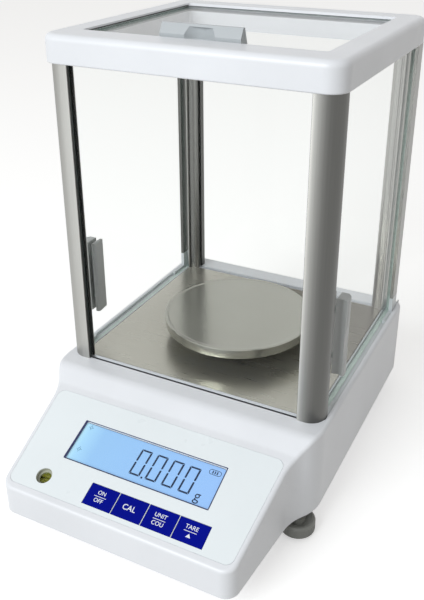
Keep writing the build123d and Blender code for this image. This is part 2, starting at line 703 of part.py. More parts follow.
def main_board():
    x0, x1 = BOARD_X
    y0, y1 = BOARD_Y
    top = BOARD_Z + BOARD_THICK
    board = block((x0, x1), (y0, y1), (BOARD_Z, top))
    # chips, a transformer and the cable's connector, from the board's front left corner
    chips = ((38, 49, 14, 14, 1.6), (18, 32, 8, 16, 2.0), (50, 26, 8, 8, 1.4), (14, 64, 12, 10, 8))
    for x, y, w, d, h in chips:
        board += Pos(x0 + x, y0 + y, top + h / 2) * Box(w, d, h)
    board += Pos(CABLE_X, y0 + 7, top + 0.4) * Box(2 * CABLE_HALF, 6, 0.8)
    for x in (34, 54):
        board += rod(x0 + x, y0 + 69, top, top + 11, 8)
    for x, y in standoff_places():
        board -= rod(x, y, BOARD_Z - 1, BOARD_Z + 5, STANDOFF_HOLE)
    return board


def standoff_places():
    columns = (BOARD_X[0] + 5, BOARD_X[1] - 5)
    rows = (BOARD_Y[0] + 5, BOARD_Y[1] - 21)
    return [(x, y) for x in columns for y in rows]


def board_standoffs():
    """Hexagonal pillars with their screws' tips, under the main board."""
    pillars = []
    for x, y in standoff_places():
        pillar = Pos(x, y, PLATE) * extrude(RegularPolygon(STANDOFF_R, 6), amount=BOARD_Z - PLATE)
        tip = rod(x, y, BOARD_Z, BOARD_Z + BOARD_THICK + 1.6, STANDOFF_SCREW)
        nut = Pos(x, y, BOARD_Z + BOARD_THICK) * extrude(RegularPolygon(2.9, 6), amount=1.8)
        pillars.append(pillar + tip + nut)
    return group(pillars)


def power_socket():
    """Barrel jack on the main board, its face flush with the rear wall."""
    x, z = POWER_AT
    w, h = POWER_SIZE
    inner = DEPTH - WALL - 0.3
    body = block((x - w / 2, x + w / 2), (BOARD_Y[1] - 12, inner), (BOARD_Z + BOARD_THICK, z + h / 2))
    body += block((x - w / 2, x + w / 2), (inner, DEPTH), (z - h / 2, z + h / 2))
    bore = Pos(x, DEPTH - 4, z) * (Rot(90, 0, 0) * Cylinder(3.2, 10))
    pin = Pos(x, DEPTH - 5, z) * (Rot(90, 0, 0) * Cylinder(1.0, 8))
    return body - bore + pin


def serial_port():
    """Nine-way D-shaped port with its two jack posts inside the wall opening."""
    x, z = SERIAL_AT
    w, h = SERIAL_SIZE
    half = w / 2
    outline = Polyline((-half, h / 2), (half, h / 2), (half - 1.6, -h / 2), (-half + 1.6, -h / 2), close=True)
    face = Pos(x, DEPTH, z) * extrude(Plane.XZ * make_face(outline), amount=12)
    cut = Pos(x, DEPTH + 1, z) * extrude(Plane.XZ * Rectangle(w - 4.5, h - 2.6), amount=5)
    port = face - cut
    pitch = 2.7
    for pins, row in ((5, 1.4), (4, -1.4)):
        for i in range(pins):
            pin = Rot(90, 0, 0) * Cylinder(0.5, 4)
            port += Pos(x + pitch * (i - (pins - 1) / 2), DEPTH - 2.5, z + row) * pin
    foot_z = (BOARD_Z + BOARD_THICK, z - h / 2 + 0.5)
    return port + block((x - half + 2, x + half - 2), (DEPTH - 12, DEPTH - 4), foot_z)


def battery_pack():
    w, d, h = BATTERY
    x, y = BATTERY_AT
    case = Pos(x, y, PLATE + h / 2) * Box(w, d, h)
    case = fillet(case.edges().filter_by(Axis.Z), 2)
    tabs = [Pos(x + s, y - d / 2 + 8, PLATE + h + 3) * Box(0.8, 6.3, 6) for s in (-20, 20)]
    return case + tabs


# Draft shield

def post_top(shape):
    """Cuts a post's section to the height between deck and frame."""
    return Pos(0, 0, DECK_Z) * extrude(shape, amount=FRAME_Z - DECK_Z)


def front_post_section():
    """Quarter-round extrusion: panes enter its inner side and its back."""
    x0, x1 = FRONT_POST_INNER, POST_OUTER
    y0, y1 = FRONT_POST_Y, FRONT_POST_Y + FRONT_POST_DEPTH
    tail = FRONT_PANE_Y + SEAL_SLOT / 2 + 1.2
    edge = Curve() + [
        Line((x0, y0), (x1 - POST_ROUND, y0)),
        RadiusArc((x1 - POST_ROUND, y0), (x1, y0 + POST_ROUND), -POST_ROUND),
        Line((x1, y0 + POST_ROUND), (x1, y1)),
        Line((x1, y1), (SLOT_IN - 1.5, y1)),
        Line((SLOT_IN - 1.5, y1), (SLOT_IN - 1.5, y1 - 2.5)),
        Line((SLOT_IN - 1.5, y1 - 2.5), (x0 + POST_GROOVE, tail)),
        Line((x0 + POST_GROOVE, tail), (x0, tail)),
        Line((x0, tail), (x0, y0)),
    ]
    section = make_face(edge)
    slot = Pos(x0 + POST_GROOVE / 2, FRONT_PANE_Y) * Rectangle(POST_GROOVE + 0.6, SEAL_SLOT)
    groove = Pos(DOOR_X, y1) * Rectangle(DOOR_SLOT, 2 * POST_GROOVE + 0.6)
    bore = Pos(*FRONT_ROD) * Circle(ROD_D / 2 + ROD_PLAY)
    return section - slot - groove - bore


def rear_post_section():
    """Extrusion with a rounded nose, a bead beside the door and a groove for the rear pane."""
    x0, x1 = REAR_POST_INNER, REAR_POST_INNER + REAR_POST_WIDTH
    y0, y1 = REAR_POST_Y, REAR_POST_Y + REAR_POST_DEPTH
    body = Pos((x0 + x1) / 2, (y0 + y1) / 2) * Rectangle(x1 - x0, y1 - y0)
    nose = [v for v in body.vertices() if v.X < x0 + 1 and v.Y < y0 + 1]
    body = fillet(nose, 5.0)
    bead = Pos(x1 - 1.2, y0) * Circle(1.2)
    groove = Pos(x1 - 3.2, y0) * Rectangle(1.2, 1.6)
    slot = Pos(x0 + POST_GROOVE / 2, REAR_PANE_Y) * Rectangle(POST_GROOVE + 0.6, PANE_SLOT)
    bore = Pos(*REAR_ROD) * Circle(ROD_D / 2 + ROD_PLAY)
    return body + bead - groove - slot - bore


def guide_strips():
    """Flat bars outside the rear posts; the doors slide between bar and post."""
    foot = DECK_Z + RAIL_POST
    bar = block((SLOT_OUT + 0.4, POST_OUTER), (REAR_POST_Y, REAR_POST_Y + REAR_POST_DEPTH), (foot, FRAME_Z))
    return group([bar, flip(bar)])


def door_rail():
    """Channel liner with guide shoes at both ends and a socket for the guide strip."""
    y0, y1 = FRONT_POST_Y + 10.0, DEPTH - 0.5
    x0, x1 = SLOT_IN - 1.0, SLOT_OUT + 3.3
    bottom = DECK_Z - GLASS_SINK - 0.4
    shoe_low = bottom - 0.2
    rail = block((x0, x1), (y0, y1), (DECK_Z - RAIL_BASE, DECK_Z))
    rail -= block((SLOT_IN, x1 - 1.0), (y0 - 1, y1 + 1), (bottom, DECK_Z + 1))
    post_end = FRONT_POST_Y + FRONT_POST_DEPTH
    for start in (post_end + 0.3, REAR_POST_Y - 20):
        rail += block((SLOT_OUT + 0.1, x1 - 0.8), (start, start + SHOE_LENGTH), (shoe_low, DECK_Z + 0.6))
    rail -= block((SLOT_IN - 2, x1 + 1), (y0 - 1, post_end + 0.2), (bottom, DECK_Z + 1))
    post_y = (REAR_POST_Y, REAR_POST_Y + REAR_POST_DEPTH)
    return rail + block((SLOT_OUT + 0.2, POST_OUTER), post_y, (shoe_low, DECK_Z + RAIL_POST))


def front_glass():
    reach = FRONT_POST_INNER + POST_GROOVE - SEAL_BASE
    half = GLASS / 2
    return block((-reach, reach), (FRONT_PANE_Y - half, FRONT_PANE_Y + half), (DECK_Z - GLASS_SINK, PANE_TOP))


def rear_glass():
    reach = REAR_POST_INNER + POST_GROOVE
    half = GLASS / 2
    return block((-reach, reach), (REAR_PANE_Y - half, REAR_PANE_Y + half), (DECK_Z - GLASS_SINK, PANE_TOP))


def peg_places():
    """Where the pegs of a door handle pass through its pane."""
    z = HANDLE_Z + HANDLE_HEIGHT / 2
    return [(HANDLE_Y + HANDLE_DEPTH / 2, z + side * PEG_SPREAD / 2) for side in (-1, 1)]


def door_glass():
    half = GLASS / 2
    z = (DECK_Z - GLASS_SINK, PANE_TOP)
    sheet = block((DOOR_X - half, DOOR_X + half), (DOOR_FRONT + 0.3, DOOR_BACK), z)
    for y, z in peg_places():
        sheet -= Pos(DOOR_X, y, z) * (Rot(0, 90, 0) * Cylinder(PEG_D / 2 + 0.2, GLASS + 2))
    return sheet


def top_door_glass():
    reach = OPENING_HALF + TOP_PANE_GRIP
    return block((-reach, reach), (OPENING_FRONT - 2.6, FRAME_BACK - 6), (TOP_PANE_Z, TOP_PANE_Z + GLASS))


def handle_outer():
    """Outer half of a door handle: a waisted grip with a hollowed front face."""
    x0 = DOOR_X + GLASS / 2
    y0, y1 = HANDLE_Y, HANDLE_Y + HANDLE_DEPTH
    out = x0 + HANDLE_OUT
    tip = HANDLE_OUT * 0.146
    back = (x0 + HANDLE_OUT * 0.55, y1)
    shoulder = (out - tip * 0.2, y0 + HANDLE_DEPTH * 0.44)
    outline = make_face(Curve() + [
        Line((x0, y1), (x0, y0)),
        Spline((x0, y0), (x0 + HANDLE_OUT * 0.4, y0 + HANDLE_OUT * 0.115), (out - tip, y0 - tip / 7)),
        RadiusArc((out - tip, y0 - tip / 7), (out, y0 + tip * 1.14), -tip * 1.2),
        Line((out, y0 + tip * 1.14), shoulder),
        RadiusArc(shoulder, back, -HANDLE_OUT * 0.94),
        Line(back, (x0, y1)),
    ])
    grip = Pos(0, 0, HANDLE_Z) * extrude(outline, amount=HANDLE_HEIGHT)
    # a large cylinder takes a shallow scallop out of the grip's outer face
    scallop = Rot(90, 0, 0) * Cylinder(HANDLE_HEIGHT * 1.4, 5 * HANDLE_DEPTH)
    grip -= Pos(out + HANDLE_HEIGHT * 1.4 - 1.4, y0, HANDLE_Z + HANDLE_HEIGHT * 0.42) * scallop
    for y, z in peg_places():
        grip += Pos(DOOR_X + 0.2, y, z) * (Rot(0, 90, 0) * Cylinder(PEG_D / 2, GLASS - 0.4))
    return fillet(grip.edges().group_by(Axis.Z)[-1], HANDLE_ROUND)


def handle_inner():
    """Thin inner half that closes the handle over the glass."""
    x1 = DOOR_X - GLASS / 2
    y0, y1 = HANDLE_Y, HANDLE_Y + HANDLE_DEPTH
    inner = x1 - HANDLE_IN
    outline = make_face(Polyline((x1, y1), (x1, y0), (inner, y0), (inner + HANDLE_IN * 0.3, y1), close=True))
    outline = fillet(outline.vertices().group_by(Axis.X)[0], HANDLE_IN * 0.6)
    grip = Pos(0, 0, HANDLE_Z) * extrude(outline, amount=HANDLE_HEIGHT)
    return fillet(grip.edges().group_by(Axis.Z)[-1], HANDLE_ROUND)


def top_door_handle():
    """Wedge-shaped pull glued on the top door, with a thumb scoop in its front."""
    y0 = TOP_HANDLE_Y
    y1 = y0 + TOP_HANDLE_FOOT
    z0 = TOP_PANE_Z + GLASS
    z1 = z0 + TOP_HANDLE_HEIGHT
    section = Polyline((y0, z0), (y1, z0), (y1 - 4.2, z1), (y0 + 3.8, z1), (y0, z0 + 4.4), close=True)
    pull = extrude(Plane.YZ * make_face(section), amount=TOP_HANDLE_WIDTH / 2, both=True)
    scoop = Pos(0, y0 - 9.5, z0 + 4) * (Rot(-28, 0, 0) * Cylinder(SCOOP_R, 2 * SCOOP_R))
    bowl = Pos(0, y0 - 9.0, z0) * extrude(Circle(SCOOP_R), amount=TOP_HANDLE_HEIGHT - 1.6)
    return pull - (scoop & bowl)


def frame_outline():
    wide = 2 * FRAME_HALF
    deep = FRAME_BACK - FRAME_FRONT
    return Pos(0, (FRAME_FRONT + FRAME_BACK) / 2) * RectangleRounded(wide, deep, FRAME_CORNER)


def top_frame():
    """Moulded ring that ties the posts together and carries the sliding top door."""
    ring = Pos(0, 0, FRAME_Z) * extrude(frame_outline(), amount=FRAME_HEIGHT)
    ring = fillet(ring.edges().group_by(Axis.Z)[-1], FRAME_ROUND)
    ring = fillet(ring.edges().group_by(Axis.Z)[0], 1.2)
    hole = RectangleRounded(2 * OPENING_HALF, OPENING_BACK - OPENING_FRONT, 2)
    ring -= Pos(0, (OPENING_FRONT + OPENING_BACK) / 2, FRAME_Z - 1) * extrude(hole, amount=FRAME_HEIGHT + 2)
    # slot of the top door: front rebate, side grooves, way out at the back
    reach = OPENING_HALF + TOP_PANE_GRIP + 0.5
    slot_z = (TOP_PANE_Z - GLASS_PLAY, TOP_PANE_Z + GLASS + GLASS_PLAY)
    ring -= block((-reach, reach), (OPENING_FRONT - 3, FRAME_BACK + 1), slot_z)
    # grooves underneath for the panes and the doors
    z = (FRAME_Z - 1, FRAME_Z + POST_GROOVE)
    for inner, y in ((FRONT_POST_INNER, FRONT_PANE_Y), (REAR_POST_INNER, REAR_PANE_Y)):
        reach = inner + POST_GROOVE + 0.3
        ring -= block((-reach, reach), (y - PANE_SLOT / 2, y + PANE_SLOT / 2), z)
    for side in (-1, 1):
        middle = side * DOOR_X
        door_y = (DOOR_FRONT - 0.3, FRAME_BACK + 1)
        ring -= block((middle - DOOR_SLOT / 2, middle + DOOR_SLOT / 2), door_y, z)
        for x, y in (FRONT_ROD, REAR_ROD):
            ring -= rod(side * x, y, FRAME_Z - 1, FRAME_Z + ROD_GRIP, ROD_D)
    return ring


def front_glass_seals():
    """Dark U-shaped strips in the front posts, which grip the pane's edges."""
    floor = FRONT_POST_INNER + POST_GROOVE
    half = SEAL_SLOT / 2 - 0.1
    grip = PANE_SLOT / 2 - 0.2
    around = (FRONT_PANE_Y - half, FRONT_PANE_Y + half)
    channel = block((FRONT_POST_INNER - 0.6, floor), around, (DECK_Z, FRAME_Z))
    inside = (FRONT_POST_INNER - 1, floor - SEAL_BASE + 0.2)
    channel -= block(inside, (FRONT_PANE_Y - grip, FRONT_PANE_Y + grip), (DECK_Z - 1, FRAME_Z + 1))
    return group([channel, flip(channel)])


def column_tie_rods():
    """Long screws that clamp base plate, housing, post and frame together."""
    rods = []
    for side in (-1, 1):
        for x, y in (FRONT_ROD, REAR_ROD):
            rods.append(rod(side * x, y, 0, FRAME_Z + ROD_GRIP, ROD_D))
    return group(rods)


# Feet

def foot_wheel(x, y):
    """Ridged wheel with a dished top, moulded round its stem."""
    top = -WHEEL_GAP
    foot = top - WHEEL_HEIGHT
    profile = Polyline(
        (0, foot), (WHEEL_R - 1, foot), (WHEEL_R, foot + 1), (WHEEL_R, top - 1.2), (WHEEL_R - 1.2, top),
        (WHEEL_R - 2.6, top), (STEM_D, top - 2.4), (STEM_D, top + 1.5), (0, top + 1.5), close=True,
    )
    wheel = revolve(Plane.XZ * make_face(profile))
    notch = Pos(WHEEL_R + 0.25, 0, foot) * extrude(RegularPolygon(0.95, 3), amount=WHEEL_HEIGHT - 2.2)
    wheel -= PolarLocations(0, WHEEL_RIDGES) * notch
    wheel -= Cylinder(STEM_D / 2, 200)
    # recess below for the pad's collar
    wheel -= Pos(0, 0, foot) * Cylinder(PAD_R + 0.3, 2 * (PAD_HEIGHT - PAD_SHOW + 0.1))
    return Pos(x, y, 0) * wheel


def foot_stem(x, y):
    """Threaded stem that turns with the wheel inside the brass insert."""
    foot = -WHEEL_GAP - WHEEL_HEIGHT + PAD_HEIGHT - PAD_SHOW + 0.2
    return rod(x, y, foot, INSERT_LENGTH - 0.5, STEM_D - 0.1)


def foot_pad(x, y):
    """Rubber pad that stays still on the table while the wheel turns above it."""
    foot = -FOOT_HEIGHT
    pad = rod(0, 0, foot, foot + PAD_HEIGHT, 2 * PAD_R)
    pad = fillet(pad.edges().group_by(Axis.Z)[0], 0.8)
    return Pos(x, y, 0) * pad


def thread_inserts():
    inserts = []
    for x, y in FOOT_PLACES:
        inserts.append(rod(x, y, 0, INSERT_LENGTH, INSERT_D) - rod(x, y, -1, INSERT_LENGTH + 1, STEM_D))
    return group(inserts)


def rear_feet():
    """Fixed rubber feet at the back, each with a stem through the base plate."""
    feet = []
    for side in (-1, 1):
        x, y = side * REAR_FOOT_X, REAR_FOOT_Y
        low = -FOOT_HEIGHT
        stem = REAR_STEM_D / 2
        profile = Polyline(
            (0, low), (REAR_FOOT_R - 2, low), (REAR_FOOT_R - 1, low + 1), (REAR_FOOT_R, 0),
            (stem, 0), (stem, PLATE + 4), (0, PLATE + 4), close=True,
        )
        feet.append(Pos(x, y, 0) * revolve(Plane.XZ * make_face(profile)))
    return group(feet)


def housing_screws():
    screws = []
    for x, y in SCREW_PLACES:
        head = rod(x, y, 0, SCREW_HEAD, SCREW_HEAD_D)
        stem = rod(x, y, SCREW_HEAD, PLATE + SCREW_LENGTH - 0.5, SCREW_D)
        cross = Pos(x, y, 0.4) * Box(3.2, 0.7, 1) + Pos(x, y, 0.4) * Box(0.7, 3.2, 1)
        screws.append(head + stem - cross)
    return group(screws)


def main():
    os.makedirs("parts", exist_ok=True)
    save("upper_housing", upper_housing() + display_board_posts())
    save("base_plate", base_plate())
    save("console_faceplate", console_faceplate())
    save("display_window", display_window())
    save("lcd_panel", display_layer(LCD_BELOW, LCD_THICK, LCD_PLAY))
    save("display_backlight", display_layer(LAMP_BELOW, LAMP_THICK, LCD_PLAY + 0.8))
    save("display_board", display_board())
    save("display_board_screws", display_board_screws())
    for i, name in enumerate(("power_key", "calibrate_key", "unit_key", "tare_key")):
        save(name, key(i))
    save("key_switches", key_switches())
    save("level_cup", level_cup())
    lens, fluid, bubble = level_vial_parts()
    save("level_lens", lens)
    save("level_fluid", fluid)
    save("level_bubble", bubble)
    save("display_ribbon_cable", display_ribbon_cable())

    save("chamber_floor_plate", chamber_floor_plate())
    save("weighing_pan", weighing_pan())
    save("pan_hub", pan_hub())
    save("pan_carrier", pan_carrier())
    save("load_cell", load_cell())
    save("load_cell_base", load_cell_base())
    save("load_cell_screws", load_cell_screws())
    save("overload_stop", overload_stop())
    save("main_board", main_board())
    save("board_standoffs", board_standoffs())
    save("power_socket", power_socket())
    save("serial_port", serial_port())
    save("battery_pack", battery_pack())

    front_post = post_top(front_post_section())
    rear_post = post_top(rear_post_section())
    save("front_right_column", front_post)
    save("front_left_column", flip(front_post))
    save("rear_right_column", rear_post)
    save("rear_left_column", flip(rear_post))
    save("rear_guide_strips", guide_strips())
    save("right_door_rail", door_rail())
    save("left_door_rail", flip(door_rail()))
    save("front_glass", front_glass())
    save("rear_glass", rear_glass())
    save("right_door_glass", door_glass())
    save("left_door_glass", flip(door_glass()))
    save("top_door_glass", top_door_glass())
    save("right_handle_outer", handle_outer())
    save("left_handle_outer", flip(handle_outer()))
    save("right_handle_inner", handle_inner())
    save("left_handle_inner", flip(handle_inner()))
    save("top_door_handle", top_door_handle())
    save("top_frame", top_frame())
    save("front_glass_seals", front_glass_seals())
    save("column_tie_rods", column_tie_rods())

    for side, (x, y) in zip(("left", "right"), FOOT_PLACES):
        save(f"{side}_foot_wheel", foot_wheel(x, y))
        save(f"{side}_foot_stem", foot_stem(x, y))
        save(f"{side}_foot_pad", foot_pad(x, y))
    save("foot_thread_inserts", thread_inserts())
    save("rear_feet", rear_feet())
    save("housing_screws", housing_screws())


main()
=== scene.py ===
import bpy
import bmesh
import math
from mathutils import Matrix, Vector


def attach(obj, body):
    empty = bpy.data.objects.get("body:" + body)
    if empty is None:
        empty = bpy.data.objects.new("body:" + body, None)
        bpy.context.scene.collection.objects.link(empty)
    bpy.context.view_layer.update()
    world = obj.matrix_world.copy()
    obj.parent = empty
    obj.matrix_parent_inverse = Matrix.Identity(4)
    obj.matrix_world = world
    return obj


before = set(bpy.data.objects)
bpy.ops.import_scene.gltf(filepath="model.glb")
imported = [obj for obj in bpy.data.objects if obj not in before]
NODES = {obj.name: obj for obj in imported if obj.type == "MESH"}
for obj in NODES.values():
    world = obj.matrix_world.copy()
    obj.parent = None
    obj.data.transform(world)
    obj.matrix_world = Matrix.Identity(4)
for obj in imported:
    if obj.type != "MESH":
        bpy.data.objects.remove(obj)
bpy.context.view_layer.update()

# Places of the console's slope and of what is printed on it, in metres.
# Stations on the slope run from the lip upwards, as the console's own drawing has them.
DEPTH = 0.337
FOOT_HEIGHT = 0.0195
LIP_Z = 0.024
SLOPE = math.radians(22.0)
KEY_LEFT = -0.0288
KEY_PITCH = 0.0248
KEY_START = 0.0093
KEY_LENGTH = 0.0166
WINDOW_HALF = 0.0622
WINDOW_START = 0.0360
WINDOW_END = 0.0706
WINDOW_LEDGE = 0.0010

# Prints, in metres: how far one stands off what carries it, and its thickness on a key and on the display.
PRINT_LIFT = 0.00001
KEY_PRINT = 0.00006
FINE_PRINT = 0.00003

# The photograph's frame, in pixels.
IMAGE_WIDTH = 424
IMAGE_HEIGHT = 600


# Materials

def tree(name):
    """A new node material with its Principled shader."""
    mat = bpy.data.materials.new(name)
    mat.use_nodes = True
    return mat, mat.node_tree, mat.node_tree.nodes["Principled BSDF"]


def link(nt, a, b):
    nt.links.new(a, b)


def compute(nt, operation, first, second=None):
    """A math node's result; each of its inputs is a number or another node's output."""
    node = nt.nodes.new("ShaderNodeMath")
    node.operation = operation
    for socket, value in zip(node.inputs, (first, second)):
        if isinstance(value, float):
            socket.default_value = value
        elif value is not None:
            link(nt, value, socket)
    return node.outputs[0]


def mix_shaders(nt, amount, first, second):
    """The first shader where amount is 0 and the second where it is 1."""
    node = nt.nodes.new("ShaderNodeMixShader")
    link(nt, amount, node.inputs["Fac"])
    link(nt, first, node.inputs[1])
    link(nt, second, node.inputs[2])
    return node.outputs["Shader"]


def noise(nt, scale, detail=3.0, rough=0.5, stretch=(1, 1, 1)):
    """Noise over the object's own coordinates; stretch drags it out along an axis."""
    coord = nt.nodes.new("ShaderNodeTexCoord")
    mapping = nt.nodes.new("ShaderNodeMapping")
    mapping.inputs["Scale"].default_value = stretch
    tex = nt.nodes.new("ShaderNodeTexNoise")
    tex.inputs["Scale"].default_value = scale
    tex.inputs["Detail"].default_value = detail
    tex.inputs["Roughness"].default_value = rough
    link(nt, coord.outputs["Object"], mapping.inputs["Vector"])
    link(nt, mapping.outputs["Vector"], tex.inputs["Vector"])
    return tex.outputs["Fac"]


def ramp(nt, value, stops):
    node = nt.nodes.new("ShaderNodeValToRGB")
    for element, (pos, colour) in zip(node.color_ramp.elements, (stops[0], stops[-1])):
        element.position = pos
        element.color = (*colour, 1)
    for pos, colour in stops[1:-1]:
        element = node.color_ramp.elements.new(pos)
        element.color = (*colour, 1)
    link(nt, value, node.inputs["Fac"])
    return node.outputs["Color"]


def between(nt, value, low, high):
    """Maps 0..1 onto low..high."""
    node = nt.nodes.new("ShaderNodeMapRange")
    node.inputs["To Min"].default_value = low
    node.inputs["To Max"].default_value = high
    link(nt, value, node.inputs["Value"])
    return node.outputs["Result"]


def bump(nt, shader, value, height, strength=1.0):
    node = nt.nodes.new("ShaderNodeBump")
    node.inputs["Strength"].default_value = strength
    node.inputs["Distance"].default_value = height
    link(nt, value, node.inputs["Height"])
    link(nt, node.outputs["Normal"], shader.inputs["Normal"])


def shade(colour, factor):
    return tuple(min(1.0, c * factor) for c in colour)


def plastic(name, colour, rough=0.38, grain=0.00002, grain_scale=2600, vary=0.03, specular=0.5):
    """Moulded plastic: faint mottling in colour and gloss over a fine moulded grain."""
    mat, nt, p = tree(name)
    stops = [(0.3, shade(colour, 1 - vary)), (0.7, shade(colour, 1 + vary))]
    link(nt, ramp(nt, noise(nt, 14, 4), stops), p.inputs["Base Color"])
    link(nt, between(nt, noise(nt, 60, 3), rough - 0.06, rough + 0.06), p.inputs["Roughness"])
    p.inputs["Specular IOR Level"].default_value = specular
    bump(nt, p, noise(nt, grain_scale, 2), grain)
    return mat


def brushed(name, colour, rough=0.25, stretch=(1, 1, 1), scale=900, depth=0.000006, vary=0.06,
            metallic=1.0):
    """Metal with a fine grain in its tone, gloss and surface; stretch draws it out into lines."""
    mat, nt, p = tree(name)
    lines = noise(nt, scale, 2, 0.6, stretch)
    stops = [(0.35, shade(colour, 1 - vary)), (0.65, shade(colour, 1 + vary))]
    link(nt, ramp(nt, lines, stops), p.inputs["Base Color"])
    link(nt, between(nt, lines, rough - 0.07, rough + 0.07), p.inputs["Roughness"])
    p.inputs["Metallic"].default_value = metallic
    bump(nt, p, lines, depth)
    return mat


def object_part(nt, output, axis):
    """One component of the object's own coordinates or normal."""
    coord = nt.nodes.new("ShaderNodeTexCoord")
    split = nt.nodes.new("ShaderNodeSeparateXYZ")
    link(nt, coord.outputs[output], split.inputs["Vector"])
    return split.outputs[axis]


def spread(nt, value, low, high):
    """Maps low..high onto 0..1."""
    node = nt.nodes.new("ShaderNodeMapRange")
    node.inputs["From Min"].default_value = low
    node.inputs["From Max"].default_value = high
    link(nt, value, node.inputs["Value"])
    return node.outputs["Result"]


def clear_sheet(nt, colour, ior=1.15):
    """Thin glass: what is behind it, and on its outer faces a gloss that grows as they turn away."""
    clear = nt.nodes.new("ShaderNodeBsdfTransparent")
    clear.inputs["Color"].default_value = (*colour, 1)
    gloss = nt.nodes.new("ShaderNodeBsdfGlossy")
    gloss.inputs["Roughness"].default_value = 0.01
    fresnel = nt.nodes.new("ShaderNodeFresnel")
    fresnel.inputs["IOR"].default_value = ior
    inside = nt.nodes.new("ShaderNodeNewGeometry").outputs["Backfacing"]
    amount = compute(nt, "MULTIPLY", fresnel.outputs["Fac"], compute(nt, "SUBTRACT", 1.0, inside))
    return mix_shaders(nt, amount, clear.outputs["BSDF"], gloss.outputs["BSDF"])


def pane_glass(name, axis, edge_green_and_shade):
    """Clear sheet glass whose cut edges show the green of the glass, at a brightness given per pane that is
    painted light and shade.
    """
    mat, nt, edge = tree(name)
    edge.inputs["Roughness"].default_value = 0.25
    stops = [(0.3, shade(edge_green_and_shade, 0.9)), (0.7, shade(edge_green_and_shade, 1.1))]
    link(nt, ramp(nt, noise(nt, 300, 2), stops), edge.inputs["Base Color"])
    facing = compute(nt, "ABSOLUTE", object_part(nt, "Normal", axis))
    is_edge = compute(nt, "LESS_THAN", facing, 0.5)
    sheet = clear_sheet(nt, (0.996, 1.0, 0.998))
    both = mix_shaders(nt, is_edge, sheet, edge.outputs["BSDF"])
    link(nt, both, nt.nodes["Material Output"].inputs["Surface"])
    return mat


def clear_cover(name, colour):
    """A small clear cover."""
    mat, nt, p = tree(name)
    nt.nodes.remove(p)
    link(nt, clear_sheet(nt, colour), nt.nodes["Material Output"].inputs["Surface"])
    return mat


def lit_panel(name):
    """The display's backlit field: pale blue, paler still near its left end."""
    mat, nt, p = tree(name)
    span = spread(nt, object_part(nt, "Object", "X"), -WINDOW_HALF, WINDOW_HALF)
    stops = [(0.0, (0.34, 0.52, 0.60)), (0.05, (0.27, 0.44, 0.58)), (0.16, (0.215, 0.36, 0.545)),
             (1.0, (0.215, 0.345, 0.575))]
    blue = ramp(nt, span, stops)
    link(nt, blue, p.inputs["Base Color"])
    link(nt, blue, p.inputs["Emission Color"])
    p.inputs["Emission Strength"].default_value = 0.75
    p.inputs["Specular IOR Level"].default_value = 0.2
    link(nt, between(nt, noise(nt, 400, 2), 0.45, 0.55), p.inputs["Roughness"])
    return mat


def satin_painted_shade(name, x0, x1, painted_shades):
    """Satin extrusion with fine lines along Z, and painted light and shade across it: its painted shades run
    evenly from x0 to x1.
    """
    mat, nt, p = tree(name)
    across = spread(nt, object_part(nt, "Object", "X"), x0, x1)
    stops = [(i / (len(painted_shades) - 1), shade((1.0, 1.0, 0.955), painted_shade_tone)) for i, painted_shade_tone in enumerate(painted_shades)]
    base = ramp(nt, across, stops)
    lines = noise(nt, 1200, 2, 0.6, (1, 1, 0.02))
    mix = nt.nodes.new("ShaderNodeMix")
    mix.data_type = "RGBA"
    mix.blend_type = "MULTIPLY"
    mix.inputs["Factor"].default_value = 1.0
    link(nt, base, mix.inputs["A"])
    link(nt, ramp(nt, lines, [(0.3, (0.94, 0.94, 0.94)), (0.7, (1.0, 1.0, 1.0))]), mix.inputs["B"])
    link(nt, mix.outputs["Result"], p.inputs["Base Color"])
    link(nt, between(nt, lines, 0.30, 0.40), p.inputs["Roughness"])
    p.inputs["Metallic"].default_value = 1.0
    bump(nt, p, lines, 0.000004)
    return mat


def floor_metal(name):
    """Bright rolled sheet with a painted reflection: its colour is darker towards the rear right, where it
    mirrors the dark of the shield.
    """
    mat, nt, p = tree(name)
    across = spread(nt, object_part(nt, "Object", "X"), -0.10, 0.10)
    along = spread(nt, object_part(nt, "Object", "Y"), -0.05, 0.15)
    # Painted reflection: the darker stops towards the rear right stand for the shield's dark mirrored in the
    # sheet.
    stops = [(0.0, (0.46, 0.45, 0.40)), (0.25, (0.36, 0.35, 0.30)), (0.55, (0.15, 0.142, 0.115)),
             (1.0, (0.13, 0.12, 0.10))]
    painted_shade_tone = ramp(nt, compute(nt, "MULTIPLY", across, along), stops)
    link(nt, painted_shade_tone, p.inputs["Base Color"])
    lines = noise(nt, 700, 2, 0.6, (0.05, 1, 1))
    link(nt, between(nt, lines, 0.24, 0.34), p.inputs["Roughness"])
    p.inputs["Metallic"].default_value = 0.8
    bump(nt, p, lines, 0.000004)
    return mat


WHITE = (0.80, 0.82, 0.86)
HOUSING = plastic("housing_white", WHITE, 0.36)
FILM = plastic("overlay_film", (0.84, 0.895, 0.925), 0.30, grain=0.00001, grain_scale=1800, vary=0.015)
KEY_BLUE = plastic("key_blue", (0.0, 0.004, 0.26), 0.6, grain_scale=1800, vary=0.10, specular=0.06)
PRINT_WHITE = plastic("print_white", (0.85, 0.88, 0.95), 0.5, vary=0.02)
INK = plastic("segment_ink", (0.006, 0.02, 0.06), 0.5, vary=0.1)
FAINT_INK = plastic("faint_ink", (0.05, 0.18, 0.30), 0.5, vary=0.1)
LINER = plastic("liner_grey", (0.10, 0.12, 0.17), 0.5, vary=0.1)
BORDER = plastic("border_navy", (0.010, 0.014, 0.09), 0.5, vary=0.1)
LCD = lit_panel("lcd_blue")
WINDOW = clear_cover("display_window_clear", (0.97, 0.99, 1.0))
BOARD = plastic("solder_mask", (0.02, 0.16, 0.06), 0.35, vary=0.15)
DARK = plastic("socket_black", (0.015, 0.015, 0.017), 0.45, vary=0.1)
